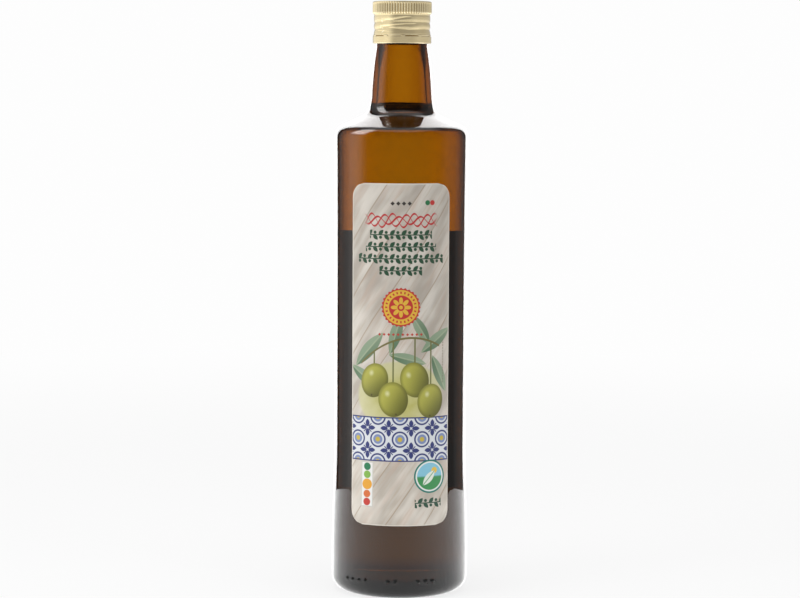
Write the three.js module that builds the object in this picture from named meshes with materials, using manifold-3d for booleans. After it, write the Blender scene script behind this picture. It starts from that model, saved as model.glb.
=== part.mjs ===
// A tall round olive oil bottle: brown glass, full of oil, with a rolled-on metal cap and a label
// in front and behind. Millimetres, +Z up. The origin is the middle of the ring that the bottle stands on, and the
// front label faces -Y.
import * as THREE from 'three';
import { mergeVertices } from 'three/addons/utils/BufferGeometryUtils.js';
import Module from 'manifold-3d';

// Driving dimensions: glass
const HEEL_RADIUS = 36.9;
const PANEL_RADIUS = 35.6;
const SHOULDER_RADIUS = 36.05;
const NECK_FOOT_RADIUS = 18.1;
const NECK_LOW_RADIUS = 16.8;
const NECK_WAIST_RADIUS = 16.25;
const NECK_HIGH_RADIUS = 15.4;
const NECK_TOP_RADIUS = 13.95;
const FINISH_RADIUS = 14.1;
const BORE_RADIUS = 10.2;
const WALL = 3.7;
const PUNT_RADIUS = 27;
const PUNT_DEPTH = 5;
const PUNT_BEND_RADIUS = 19;
const PUNT_BEND_DEPTH = 4;
const PUNT_FILLET = 20;
const RING_FILLET = 1;
const FLOOR = 5;
const FLOOR_DIP = 3;
const FLOOR_FILLET = 8;
const HEEL_FLARE_BOTTOM = 22;
const HEEL_FLARE_TOP = 82;
const PANEL_MIDDLE = 135;
const SHOULDER_FLARE_POWER = 2.8;
const SHOULDER_EDGE = 251.9;
const SHOULDER_SLOPE = 24.4;
const NECK_FOOT = 260;
const NECK_LOW = 267.4;
const NECK_WAIST = 275.8;
const NECK_HIGH = 285.7;
const NECK_TOP = 296;
const FINISH_BOTTOM = 300.4;
const GLASS_TOP = 318.9;
const HEEL_FILLET = 8;
const EDGE_FILLET = 6.5;
const INNER_EDGE_FILLET = 4.5;
const FOOT_FILLET = 6;
const LIP_FILLET = 0.8;

// Driving dimensions: oil
const OIL_LEVEL = 263.5;
const OIL_GAP = 0.3;

// Driving dimensions: mould dots round the heel
const DOT_HEIGHT = 9.9;
const DOT_PROUD = 0.35;
const SMALL_DOT_RADIUS = 0.7;
const LARGE_DOT_RADIUS = 0.95;
const DOT_PITCH = 6.5;
const DOT_GROUPS = [
  { start: -49, count: 4, radius: SMALL_DOT_RADIUS },
  { start: -10, count: 2, radius: LARGE_DOT_RADIUS },
  { start: 16, count: 3, radius: LARGE_DOT_RADIUS },
];

// Driving dimensions: cap
const CAP_BOTTOM = 297.6;
const CAP_TOP = 320.3;
const CAP_WALL = 0.8;
const CAP_ROOF = 1;
const CAP_TOP_FILLET = 0.9;
const CAP_TOP_DRAFT = 0.3;
const CAP_SKIRT_RADIUS = 15.2;
const CAP_BAND_RADIUS = 15.8;
const CAP_CURL_RADIUS = 14.95;
const CAP_CURL_TOP = 298.2;
const KNURL_RADIUS = 15.95;
const KNURL_DEPTH = 0.4;
const KNURL_TEETH = 66;
const KNURL_BOTTOM = 313.8;
const KNURL_TOP = 318.9;
const THREAD_PITCH = 3.5;
const THREAD_TURNS = 2.3;
const THREAD_START = 304.7;
const THREAD_WIDTH = 1.5;
const THREAD_PROUD = 0.35;
const SLIT_HEIGHT = 301.9;
const SLIT_GAP = 0.45;
const SLIT_COUNT = 10;
const SLIT_SHARE = 0.72;
const SLIT_DEPTH = 4.8;
const BEAD_BOTTOM = 302.5;
const BEAD_TOP = 303.2;

// Driving dimensions: labels, each turned round from the front by its turn
const FRONT_LABEL = { bottom: 40.4, top: 223.6, halfAngle: 46, turn: 0 };
const BACK_LABEL = { bottom: 51.5, top: 195.5, halfAngle: 42, turn: 180 };
const LABEL_CORNER = 8;
const LABEL_GAP = 0.3;
const LABEL_THICKNESS = 0.2;

// How finely the curves are faceted
const SEGMENTS = 40;
const FILLET_STEP = 0.5;
const THREAD_STEPS = 16;
const THREAD_CURVE_SEGMENTS = 2;
const CORNER_SEGMENTS = 4;
const DOT_FACETS = [6, 4];
const SIDE_HEIGHTS = [16, 36, 58, 80, 190, 243];
const INNER_SIDE_BOTTOM = 20;

const wasm = await Module();
wasm.setup();

const rad = THREE.MathUtils.degToRad;

// A solid made from a closed geometry, with its shared vertices merged.
function toSolid(geometry) {
  const bare = new THREE.BufferGeometry();
  bare.setAttribute('position', geometry.getAttribute('position').clone());
  if (geometry.index) bare.setIndex(geometry.index.clone());
  const merged = mergeVertices(bare, 1e-4);
  const index = merged.index.array;
  const triangles = [];
  for (let i = 0; i < index.length; i += 3) {
    const [a, b, c] = [index[i], index[i + 1], index[i + 2]];
    if (a !== b && b !== c && c !== a) triangles.push(a, b, c);
  }
  return new wasm.Manifold(new wasm.Mesh({
    numProp: 3,
    vertProperties: new Float32Array(merged.getAttribute('position').array),
    triVerts: new Uint32Array(triangles),
  }));
}

// The geometry of a solid.
function toGeometry(solid) {
  const mesh = solid.getMesh();
  const geometry = new THREE.BufferGeometry();
  geometry.setAttribute('position', new THREE.BufferAttribute(mesh.vertProperties, 3));
  geometry.setIndex(new THREE.BufferAttribute(mesh.triVerts, 1));
  geometry.computeVertexNormals();
  return geometry;
}

// The points of an outline through [radius, height, fillet] corners, each rounded by its fillet.
function rounded(corners) {
  return corners.flatMap(([radius, height, fillet = 0], i) => {
    const corner = new THREE.Vector2(radius, height);
    if (fillet === 0) return [corner];
    const back = new THREE.Vector2(...corners[i - 1].slice(0, 2)).sub(corner).normalize();
    const ahead = new THREE.Vector2(...corners[i + 1].slice(0, 2)).sub(corner).normalize();
    const half = Math.acos(THREE.MathUtils.clamp(back.dot(ahead), -1, 1)) / 2;
    const centre = back.clone().add(ahead).normalize().multiplyScalar(fillet / Math.sin(half));
    const start = back.multiplyScalar(fillet / Math.tan(half)).sub(centre);
    const end = ahead.multiplyScalar(fillet / Math.tan(half)).sub(centre);
    const turn = Math.atan2(start.cross(end), start.dot(end));
    const steps = Math.max(1, Math.round(Math.abs(turn) / FILLET_STEP));
    return Array.from({ length: steps + 1 }, (_, k) => start.clone()
      .rotateAround(new THREE.Vector2(), (turn * k) / steps)
      .add(centre)
      .add(corner));
  });
}

// A solid of revolution about Z from an outline of radius and height.
function turned(points) {
  const geometry = new THREE.LatheGeometry(points, SEGMENTS);
  geometry.rotateX(Math.PI / 2);
  return toSolid(geometry);
}

// An extruded solid standing on z = bottom.
function prism(shape, bottom, height) {
  const geometry = new THREE.ExtrudeGeometry(shape, { depth: height, bevelEnabled: false });
  geometry.translate(0, 0, bottom);
  return toSolid(geometry);
}

// The outside radius of the body: widest at the heel and the shoulder, drawn in between them.
function bodyRadius(height) {
  const { smoothstep } = THREE.MathUtils;
  const low = 1 - smoothstep(height, HEEL_FLARE_BOTTOM, HEEL_FLARE_TOP);
  const high = Math.max(0, (height - PANEL_MIDDLE) / (SHOULDER_EDGE - PANEL_MIDDLE));
  return PANEL_RADIUS + (HEEL_RADIUS - PANEL_RADIUS) * low
    + (SHOULDER_RADIUS - PANEL_RADIUS) * high ** SHOULDER_FLARE_POWER;
}

// Points up the side of the body between two heights, standing off its outside by an offset.
function bodySide(offset, bottom, top) {
  const between = SIDE_HEIGHTS.filter((height) => height > bottom + 1 && height < top - 1);
  return [bottom, ...between, top].map((height) => [bodyRadius(height) + offset, height]);
}

// The outside of the glass, from the middle of the punt up to the lip.
function outsideCorners() {
  return [
    [0, PUNT_DEPTH],
    [PUNT_BEND_RADIUS, PUNT_BEND_DEPTH, PUNT_FILLET],
    [PUNT_RADIUS, 0, RING_FILLET],
    [HEEL_RADIUS, 0, HEEL_FILLET],
    ...bodySide(0, SIDE_HEIGHTS.at(0), SIDE_HEIGHTS.at(-1)),
    [SHOULDER_RADIUS, SHOULDER_EDGE, EDGE_FILLET],
    [NECK_FOOT_RADIUS, NECK_FOOT, FOOT_FILLET],
    [NECK_LOW_RADIUS, NECK_LOW],
    [NECK_WAIST_RADIUS, NECK_WAIST],
    [NECK_HIGH_RADIUS, NECK_HIGH],
    [NECK_TOP_RADIUS, NECK_TOP],
    [FINISH_RADIUS, FINISH_BOTTOM],
    [FINISH_RADIUS, GLASS_TOP, LIP_FILLET],
  ];
}

// The inside of the shoulder from the neck's foot down, drawn in by a gap.
function shoulderInsideCorners(gap) {
  const wall = WALL + gap;
  const slope = rad(SHOULDER_SLOPE);
  const drop = wall / Math.cos(slope) - wall * Math.tan(slope);
  return [
    [NECK_FOOT_RADIUS - wall, NECK_FOOT - drop, FOOT_FILLET],
    [SHOULDER_RADIUS - wall, SHOULDER_EDGE - drop, INNER_EDGE_FILLET],
  ];
}

// The inside of the neck, from the lip down.
function neckInsideCorners() {
  return [
    [BORE_RADIUS, GLASS_TOP, LIP_FILLET],
    [BORE_RADIUS, NECK_TOP],
    [NECK_HIGH_RADIUS - WALL, NECK_HIGH],
    [NECK_WAIST_RADIUS - WALL, NECK_WAIST],
    [NECK_LOW_RADIUS - WALL, NECK_LOW],
  ];
}

// The inside of the shoulder and body down to the middle of the floor, drawn in by a gap.
function bodyInsideCorners(gap) {
  const floor = PUNT_DEPTH + FLOOR + gap;
  const side = bodySide(-WALL - gap, INNER_SIDE_BOTTOM, SIDE_HEIGHTS.at(-1));
  return [
    ...shoulderInsideCorners(gap),
    ...side.reverse(),
    [HEEL_RADIUS - WALL - gap, floor - FLOOR_DIP, FLOOR_FILLET],
    [PUNT_BEND_RADIUS, floor - PUNT_DEPTH + PUNT_BEND_DEPTH, PUNT_FILLET],
    [0, floor],
  ];
}

function mouldDot(angle, radius) {
  const geometry = new THREE.SphereGeometry(radius, ...DOT_FACETS);
  geometry.translate(0, radius - DOT_PROUD - HEEL_RADIUS, 0);
  geometry.rotateZ(rad(angle));
  geometry.translate(0, 0, DOT_HEIGHT);
  return toSolid(geometry);
}

function makeGlass() {
  const inside = [...neckInsideCorners(), ...bodyInsideCorners(0)];
  let glass = turned(rounded([...outsideCorners(), ...inside]));
  for (const { start, count, radius } of DOT_GROUPS) {
    for (let i = 0; i < count; i += 1) {
      glass = glass.add(mouldDot(start + i * DOT_PITCH, radius));
    }
  }
  return glass;
}

// The oil stands in the foot of the neck, where the bore narrows evenly from the foot upwards.
function makeOil() {
  const inside = bodyInsideCorners(OIL_GAP);
  const [footRadius, footHeight] = inside[0];
  const share = (OIL_LEVEL - footHeight) / (NECK_LOW - footHeight);
  const rim = THREE.MathUtils.lerp(footRadius, NECK_LOW_RADIUS - WALL - OIL_GAP, share);
  return turned(rounded([[0, OIL_LEVEL], [rim, OIL_LEVEL], ...inside]).reverse());
}

// A ring of flutes: a toothed disc, to be joined to the cap.
function knurlShape() {
  const shape = new THREE.Shape();
  for (let i = 0; i < KNURL_TEETH * 2; i += 1) {
    const angle = (Math.PI * i) / KNURL_TEETH;
    const radius = KNURL_RADIUS - (i % 2) * KNURL_DEPTH;
    const point = [radius * Math.cos(angle), radius * Math.sin(angle)];
    if (i === 0) shape.moveTo(...point);
    else shape.lineTo(...point);
  }
  shape.closePath();
  return shape;
}

class Helix extends THREE.Curve {
  getPoint(t, target = new THREE.Vector3()) {
    const angle = 2 * Math.PI * THREAD_TURNS * t;
    const height = THREAD_START + THREAD_PITCH * THREAD_TURNS * t;
    return target.set(CAP_SKIRT_RADIUS * Math.cos(angle), CAP_SKIRT_RADIUS * Math.sin(angle), height);
  }
}

// The ridge that the rolled thread raises on the skirt.
function threadRidge() {
  const section = new THREE.Shape();
  section.absellipse(0, 0, THREAD_PROUD, THREAD_WIDTH / 2, 0, 2 * Math.PI);
  const geometry = new THREE.ExtrudeGeometry(section, {
    steps: Math.round(THREAD_TURNS * THREAD_STEPS),
    curveSegments: THREAD_CURVE_SEGMENTS,
    extrudePath: new Helix(),
    bevelEnabled: false,
  });
  return toSolid(geometry);
}

// One slit of the line along which the band tears off.
function bandSlit(index) {
  const length = (2 * Math.PI * CAP_SKIRT_RADIUS * SLIT_SHARE) / SLIT_COUNT;
  const geometry = new THREE.BoxGeometry(SLIT_DEPTH, length, SLIT_GAP);
  geometry.translate(CAP_SKIRT_RADIUS, 0, SLIT_HEIGHT);
  geometry.rotateZ((2 * Math.PI * (index + 0.5)) / SLIT_COUNT);
  return toSolid(geometry);
}

// The cap without its flutes, thread and slits, from the middle of its ceiling round to its top.
function capShell() {
  const inner = CAP_SKIRT_RADIUS - CAP_WALL;
  const root = KNURL_RADIUS - KNURL_DEPTH;
  return turned(rounded([
    [0, CAP_TOP - CAP_ROOF],
    [inner, CAP_TOP - CAP_ROOF],
    [inner, CAP_BOTTOM],
    [CAP_CURL_RADIUS, CAP_BOTTOM],
    [CAP_BAND_RADIUS, CAP_CURL_TOP],
    [CAP_BAND_RADIUS, BEAD_BOTTOM],
    [CAP_SKIRT_RADIUS, BEAD_TOP],
    [CAP_SKIRT_RADIUS, KNURL_TOP],
    [root, KNURL_TOP],
    [root - CAP_TOP_DRAFT, CAP_TOP, CAP_TOP_FILLET],
    [0, CAP_TOP],
  ]));
}

function makeCap() {
  const bore = prism(circle(CAP_SKIRT_RADIUS - CAP_WALL / 2), CAP_BOTTOM, CAP_TOP - CAP_BOTTOM);
  const flutes = prism(knurlShape(), KNURL_BOTTOM, KNURL_TOP - KNURL_BOTTOM);
  let cap = flutes.add(threadRidge()).subtract(bore).add(capShell());
  for (let i = 0; i < SLIT_COUNT; i += 1) {
    cap = cap.subtract(bandSlit(i));
  }
  return cap;
}

function circle(radius) {
  const shape = new THREE.Shape();
  shape.absarc(0, 0, radius, 0, 2 * Math.PI);
  return shape;
}

// A sleeve of label paper right round the body.
function labelSleeve({ bottom, top }) {
  const inner = bodySide(LABEL_GAP, bottom, top);
  const outer = bodySide(LABEL_GAP + LABEL_THICKNESS, bottom, top);
  const around = [...outer, ...inner.reverse(), outer[0]];
  return turned(around.map(([radius, height]) => new THREE.Vector2(radius, height)));
}

// A label's outline as seen from straight before it, where its corners look narrower than they are.
function labelOutline({ bottom, top, halfAngle }) {
  const half = PANEL_RADIUS * Math.sin(rad(halfAngle));
  const wide = LABEL_CORNER * Math.cos(rad(halfAngle));
  const shape = new THREE.Shape();
  const [left, right] = [wide - half, half - wide];
  const [low, high] = [bottom + LABEL_CORNER, top - LABEL_CORNER];
  shape.absellipse(right, low, wide, LABEL_CORNER, -Math.PI / 2, 0);
  shape.absellipse(right, high, wide, LABEL_CORNER, 0, Math.PI / 2);
  shape.absellipse(left, high, wide, LABEL_CORNER, Math.PI / 2, Math.PI);
  shape.absellipse(left, low, wide, LABEL_CORNER, Math.PI, Math.PI * 1.5);
  return shape;
}

// The sleeve cut to a label's outline, on the side of the body that the label is turned to.
function makeLabel(label) {
  const geometry = new THREE.ExtrudeGeometry(labelOutline(label), {
    depth: 2 * PANEL_RADIUS,
    bevelEnabled: false,
    curveSegments: CORNER_SEGMENTS,
  });
  geometry.rotateX(Math.PI / 2);
  geometry.rotateZ(rad(label.turn));
  return labelSleeve(label).intersect(toSolid(geometry));
}

const MATERIALS = {
  amber_glass: { color: 0x8a4b0c, roughness: 0.05, metalness: 0, transparent: true, opacity: 0.35 },
  olive_oil: { color: 0x6e5a14, roughness: 0.1, metalness: 0 },
  gold_aluminium: { color: 0xd9bf7c, roughness: 0.35, metalness: 0.9 },
  label_paper: { color: 0xd8cec0, roughness: 0.6, metalness: 0 },
};

function part(name, solid, material) {
  const mesh = new THREE.Mesh(toGeometry(solid), new THREE.MeshStandardMaterial(MATERIALS[material]));
  mesh.name = name;
  return mesh;
}

const bottle = new THREE.Group();
bottle.add(part('bottle_glass', makeGlass(), 'amber_glass'));
bottle.add(part('oil', makeOil(), 'olive_oil'));
bottle.add(part('cap', makeCap(), 'gold_aluminium'));
bottle.add(part('front_label', makeLabel(FRONT_LABEL), 'label_paper'));
bottle.add(part('back_label', makeLabel(BACK_LABEL), 'label_paper'));

export default bottle;
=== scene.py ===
"""The looks of a tall brown-glass bottle full of olive oil, with a gold screw cap and two labels.

Lengths are millimetres until a mesh is made. The front label faces -Y.
"""

import math
from functools import partialmethod

import bpy
import numpy as np
from mathutils import Matrix, Vector


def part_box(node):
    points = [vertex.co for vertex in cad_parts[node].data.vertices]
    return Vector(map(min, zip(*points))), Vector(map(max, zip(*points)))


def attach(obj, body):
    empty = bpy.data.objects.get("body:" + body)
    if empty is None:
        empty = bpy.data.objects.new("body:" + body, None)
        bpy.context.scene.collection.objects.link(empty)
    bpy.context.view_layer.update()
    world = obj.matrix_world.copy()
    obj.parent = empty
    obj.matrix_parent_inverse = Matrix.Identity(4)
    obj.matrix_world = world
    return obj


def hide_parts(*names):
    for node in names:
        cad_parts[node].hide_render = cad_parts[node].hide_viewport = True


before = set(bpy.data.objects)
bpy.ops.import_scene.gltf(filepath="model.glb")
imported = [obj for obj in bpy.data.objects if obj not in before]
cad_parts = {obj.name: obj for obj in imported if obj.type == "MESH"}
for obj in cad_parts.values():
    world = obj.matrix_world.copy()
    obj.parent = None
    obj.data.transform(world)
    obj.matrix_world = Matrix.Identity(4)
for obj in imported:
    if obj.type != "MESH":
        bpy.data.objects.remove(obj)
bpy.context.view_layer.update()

MM = 0.001

# Sizes that the frame gives
glass_high, oil_high = (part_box(node)[1] / MM for node in ("bottle_glass", "oil"))
cap_low, cap_high = (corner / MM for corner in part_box("cap"))
label_low, label_high = (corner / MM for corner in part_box("front_label"))
back_low, back_high = (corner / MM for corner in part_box("back_label"))
HEEL_RADIUS, GLASS_TOP = glass_high.x, glass_high.z
OIL_LEVEL = oil_high.z
CAP_BOTTOM, CAP_TOP = cap_low.z, cap_high.z
KNURL_RADIUS = cap_high.x
LABEL_BOTTOM, LABEL_TOP = label_low.z, label_high.z
BACK_BOTTOM, BACK_TOP = back_low.z, back_high.z

# Glass
PANEL_RADIUS = 35.6
SHOULDER_RADIUS = 36.05
WALL = 3.7
HEEL_FLARE = (22, 82)
PANEL_MIDDLE = 135
SHOULDER_FLARE_POWER = 2.8
SHOULDER_EDGE = 251.9
SHOULDER_SLOPE = math.radians(24.4)
NECK_FOOT = (18.1, 260)
NECK = [(16.8, 267.4), (16.25, 275.8), (15.4, 285.7), (13.95, 296)]
FINISH_RADIUS = 14.1
FINISH_BOTTOM = 300.4
BORE_RADIUS = 10.2
PUNT_RADIUS = 27
PUNT_DEPTH = 5
PUNT_BEND = (19, 4)
PUNT_FILLET = 20
RING_FILLET = 1
FLOOR = 5
FLOOR_DIP = 3
FLOOR_FILLET = 8
HEEL_FILLET = 8
EDGE_FILLET = 6.5
INNER_EDGE_FILLET = 4.5
FOOT_FILLET = 8
INNER_FOOT_FILLET = 6
LIP_FILLET = 0.8
SIDE_STEP = 4
FILLET_STEP = 0.09
SIDE_BOTTOM, SIDE_TOP = 16, 243
INNER_SIDE_BOTTOM = 20

# Mould dots: first angle, how many and radius of each group. The mesh is close within DOT_SPREAD of
# a dot, and the painted shade on it, a near-black tint, has its dark middle DOT_DARK_RISE above the
# dot's own
DOT_HEIGHT = 9.9
DOT_PITCH = 6.5
DOT_PROUD = 0.95
DOT_SPREAD = 1.65
DOT_STEPS = 17
DOT_DARK_RISE = 0.25
DOT_DARK_EDGE = (0.65, 0.9)
DOT_ROUGHNESS = 0.08
# Near-black tint of the painted shade on the dots
DOT_PAINTED_SHADE = (0.03, 0.02, 0.01)
DOT_GROUPS = [(-49, 4, 0.95), (-10, 2, 1.25), (16, 3, 1.25)]

# Oil
OIL_OVERLAP = 0.15
MENISCUS_HEIGHT = 1.8
MENISCUS_LENGTH = 1.6

# Glass and oil as materials: refractive index, what they absorb, and fine bumps in metres
GLASS_INDEX, GLASS_TINT, GLASS_DENSITY = 1.52, (0.745, 0.618, 0.01), 1150
OIL_INDEX, OIL_TINT, OIL_DENSITY = 1.47, (0.9, 0.9, 0.3), 20
RIPPLE_HEIGHT, SWIRL_HEIGHT, BRUSH_HEIGHT = 0.00004, 0.00003, 0.00002

# Gold: two tones, the painted shade of its hollows and the pale of its sharp edges
GOLD, GOLD_LIGHT = (0.77, 0.63, 0.36), (0.85, 0.72, 0.44)
GOLD_PAINTED_SHADE, GOLD_SHARP_EDGE = (0.22, 0.14, 0.05), (0.95, 0.88, 0.68)
HOLLOW_SHADE_FADE, SHARP_EDGE_FADE = (0.44, 0.495, 0.9, 0), (0.5, 0.58, 0, 0.7)

# Cap
CAP_WALL = 0.8
CAP_ROOF = 1
SKIRT_RADIUS = 15.2
BAND_RADIUS = 15.8
CURL_RADIUS = 0.45
EDGE_RADIUS = 0.9
CAP_COLUMNS = 528
CAP_ROWS = 134
KNURL_TEETH = 66
KNURL_DEPTH = 0.5
KNURL_BOTTOM = 313.3
KNURL_RAMP = 0.7
KNURL_POINT = 0.5
KNURL_TOP = 318.6
BEAD = (302.8, 0.45, 0.14)
BAND_TOP = 302.1
BAND_RAMP = 0.35
SLIT_HEIGHT = 301.75
SLIT_HALF = 0.3
SLIT_DEPTH = 0.75
SLIT_COUNT = 10
FIRST_BRIDGE = 2
BRIDGE_HALF_ANGLE = 3.2

# Rolled grooves of the cap: depth, half width, then angles in degrees from the front and heights
GROOVES = [
    (0.16, 0.45, (-180, 180), (312.7, 312.7)),
    (0.30, 0.75, (-180, -95, -60, 60, 95, 180), (308.5, 308.5, 309.2, 308.9, 308.5, 308.5)),
    (0.36, 0.80, (-180, -90, -32, 16, 53, 90, 180), (304.9, 304.9, 305.9, 304.7, 305.2, 304.9, 304.9)),
]

# Where the thread starts and runs out in front, between those grooves
RUN_OUTS = [
    (0.34, 0.55, (-48, -20, 6, 22), (309.9, 310.1, 311.3, 311.6)),
    (0.32, 0.55, (-55, -32, 8, 40), (306.4, 306.8, 307.7, 307.9)),
    (0.20, 0.40, (-75, -30), (304.3, 303.9)),
]
RUN_OUT_TAPER = 16

# Labels
LABEL_HALF_ANGLE = math.radians(46)
BACK_HALF_ANGLE = math.radians(42)
LABEL_CORNER = 8
LABEL_LIFT = 0.03
LABEL_THICKNESS = 0.13
LABEL_ROWS, LABEL_COLUMNS = 181, 61
BAKE_SPLIT, BAKE_GAP = 0.9, 0.01


def ink(red, green, blue):
    """A colour given as the eight-bit display values people pick colours by."""
    parts = [value / 255 for value in (red, green, blue)]
    return tuple(c / 12.92 if c <= 0.04045 else ((c + 0.055) / 1.055) ** 2.4 for c in parts)


# Paper: painted shade over its print by height, darker toward the top, its fibres, and its plain and
# pale parts
PRINT_SOFT = 0.13
PRINT_PAINTED_SHADE = (60, 215, 0.7, 0.57)
FIBRE_SCALE = 1400
FIBRE_HEIGHT = 0.00001
PALE_EDGE = (0.75, 0.35)
PAPER_PALE = ink(246, 240, 226)
PAPER_INSIDE = ink(170, 164, 154)

# Print on the labels: places are millimetres right of the label's middle and above the table

# Planks
PLANK_TURN = 56
PLANK_WIDTH = 17
PLANK_SHIFT = 5
PLANK_SLIP = 37.7
GRAIN_ALONG = 0.035
GRAIN_ACROSS, BROAD_ACROSS, BLUSH_ACROSS = 0.75, 0.11, 0.2
BLUSH_SEED = 9
JOINT_FADE = (0.475, 0.495, 0, 0.6)
WOOD_PALE, WOOD_GREY = ink(232, 225, 214), ink(188, 179, 167)
WOOD_GRAIN, WOOD_BLUSH, WOOD_JOINT = ink(190, 172, 150), ink(208, 178, 158), ink(158, 132, 104)

# Scroll: the phase and reach of each wave, and how much its width varies
SCROLL_HEIGHT, SCROLL_REACH, SCROLL_WAVE = 204, 21, 11.5
SCROLL_TAPER = 4
SCROLL_WAVES = [(0, 3.0), (2.1, 2.0), (4.0, 3.6)]
SCROLL_WIDTH = (0.2, 0.5)
SCROLL_RED = ink(200, 42, 48)

# Garlands: the top and half length of each, what a cell holds, and middle, height and reach
GARLAND_BOTTOM, GARLAND_ROW, GARLAND_TOP = 174.1, 6.35, 199.5
GARLAND_CELL = 3.1
GARLAND_HALVES = [(199, 17), (193.1, 19.5), (186.8, 24), (180.4, 11.5)]
GARLAND_LEAF = ((0.1, 1.2), 48, 4.0, 2.1)
GARLAND_BERRY = ((-0.1, -1.3), 0.85)
GARLAND_STEM = 0.3
FOOT_GARLAND = (15.6, 52.6, 7.6)
BACK_GARLAND = (0, 180, 20)
GARLAND_GREEN, FOOT_GREEN = ink(28, 76, 48), ink(40, 80, 60)

# Medallion: rings are an outer radius and a colour
ROSE_GOLD, ROSE_RED = ink(238, 190, 60), ink(200, 44, 38)
MEDALLION = (0.2, 157.8)
MEDALLION_RADIUS = 10.2
SCALLOPS, SCALLOP_DEPTH = 28, 0.32
MEDALLION_RINGS = [(9.3, ROSE_GOLD), (6.4, ROSE_RED)]
BEADS, BEAD_RING = 24, (7.85, 0.5, 0.2)
PETAL_WAVES, PETAL_POWER, PETAL_LENGTH, PETAL_START = 4, 0.7, 3.9, 1.5
MEDALLION_HEART = [(1.9, ROSE_RED), (1.0, ROSE_GOLD)]

# Small marks: height, reach, pitch and size of a row of lozenges
LOZENGE_LINE = (143.3, 12.5, 2.5, 0.8)
TOP_LOZENGES = (213, 6, 3, 1.15)
LOZENGE_RED, TOP_BROWN = ink(196, 60, 50), ink(52, 44, 40)
TOP_DOT_HEIGHT, TOP_DOT_RADIUS = 213.4, 1.35
TOP_DOTS = [(14.3, ink(30, 120, 70)), (17.1, ink(205, 50, 45))]
SIDE_DASHES = (24.4, 117, 140, 1.5)
DASH_HALF, DASH_SHARE = 0.4, 0.62
DASH_BROWN = ink(120, 110, 90)

# Olive branch: middle and half size of the field; height, middle and bend of the stem; place, turn,
# length and width of each leaf; place, turn and half width and height of each olive
FIELD = ((0, 110), (25, 20))
FIELD_CLOUD = 0.16
FIELD_PALE, FIELD_GREEN, FIELD_RIM = ink(214, 210, 150), ink(176, 172, 62), ink(226, 222, 190)
STEM = (141.5, 6, 0.018)
STEM_REACH, STEM_HALF = 22, 0.55
STALK_HALF, STALK_OVERLAP = 0.4, 2
STEM_BROWN, STALK_GREEN = ink(120, 112, 62), ink(112, 116, 60)
LEAVES = [
    ((-17.5, 135), 48, 25, 7.2),
    ((-2.5, 143.5), 74, 23, 6.4),
    ((11, 146), 122, 20, 6.0),
    ((20, 140), 36, 22, 6.8),
    ((-20.5, 120.5), -34, 20, 6.2),
    ((22, 122), -66, 22, 6.4),
    ((4, 130), -14, 21, 6.0),
]
LEAF_RIB_HALF = 0.07
LEAF_DARK, LEAF_LIGHT = ink(92, 124, 92), ink(136, 160, 130)
LEAF_TIP, LEAF_RIB = ink(172, 188, 160), ink(192, 200, 168)
OLIVES = [
    ((-14.2, 118.5), -16, 7.7, 9.3),
    ((7.8, 119), 14, 7.8, 9.5),
    ((-3.8, 108.5), 6, 8.0, 9.4),
    ((16.8, 107.5), -8, 7.5, 9.2),
]
OLIVE_LIGHT = (-0.55, 0.5)
OLIVE_SHINE = ((-0.34, 0.36), 0.12, 0.13)
OLIVE_TIP = ((0.1, -0.86), 0.05, 0.04)
OLIVE_SHADE, OLIVE_LIT, OLIVE_RIM = ink(104, 104, 30), ink(186, 184, 78), ink(92, 90, 28)
OLIVE_WHITE, OLIVE_DARK = ink(232, 232, 176), ink(70, 60, 24)

# Tiles
TILE = 12
TILE_BAND = (75, 99)
BACK_TILE_BAND = (63, 87)
TILE_NAVY, TILE_WHITE = ink(44, 54, 118), ink(226, 230, 234)
TILE_RIM = 4.4
TILE_RINGS = [(3.5, TILE_WHITE), (2.6, ink(128, 146, 190)), (1.3, ink(206, 184, 74))]
TILE_PETAL = ((2.5, 0), 0, 4.2, 2.4)
THREAD_HALF, THREAD_REACH = 0.4, (2.9, 1.6, 0.2)
TILE_BORDER = 0.7

# Tally: height, radius and colour of each dot, on a panel with a thin darker border
TALLY_PANEL = ((-18, 62.4), (3.6, 12.2))
TALLY_PAPERS = [(0, ink(206, 204, 196)), (0.5, ink(240, 240, 236))]
TALLY = [
    (71.9, 2.05, ink(24, 124, 78)),
    (67.6, 2.05, ink(130, 182, 72)),
    (62.4, 2.9, ink(236, 168, 44)),
    (57.2, 2.05, ink(220, 112, 50)),
    (52.9, 2.05, ink(200, 56, 44)),
]

# Badge
BADGE = (16.6, 66.8)
BADGE_GREEN, BADGE_SKY = ink(60, 150, 84), ink(140, 204, 226)
BADGE_RINGS = [(9, ink(24, 122, 110)), (8.1, ink(238, 242, 238))]
BADGE_FIELD, BADGE_SOFT = 7.3, 0.6
BADGE_SUN = ((BADGE[0] + 2.6, BADGE[1] + 3.2), 1.7)
BADGE_LEAF = ((BADGE[0] - 0.6, BADGE[1] - 0.8), 48, 10.5, 4.2)
BADGE_RIB_HALF = 0.1
BADGE_WHITE, SUN_YELLOW = ink(236, 244, 232), ink(240, 200, 80)

# Camera, fitted to the photo: where it stands, its tilt and roll, and its focal length in pixels
PHOTO_WIDTH = 800
CAMERA_DISTANCE = 1339.8
CAMERA_HEIGHT = 278.1
CAMERA_SIDE = -0.35
CAMERA_TILT = math.radians(5.073)
CAMERA_ROLL = math.radians(0.31)
FOCAL_PIXELS = 2467
SENSOR_WIDTH = 36

# Studio: brightness is 1 where the picture is white. A fade is where it starts and ends, and its
# value at each. Side angles count from straight behind the bottle, rises from level.

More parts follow.
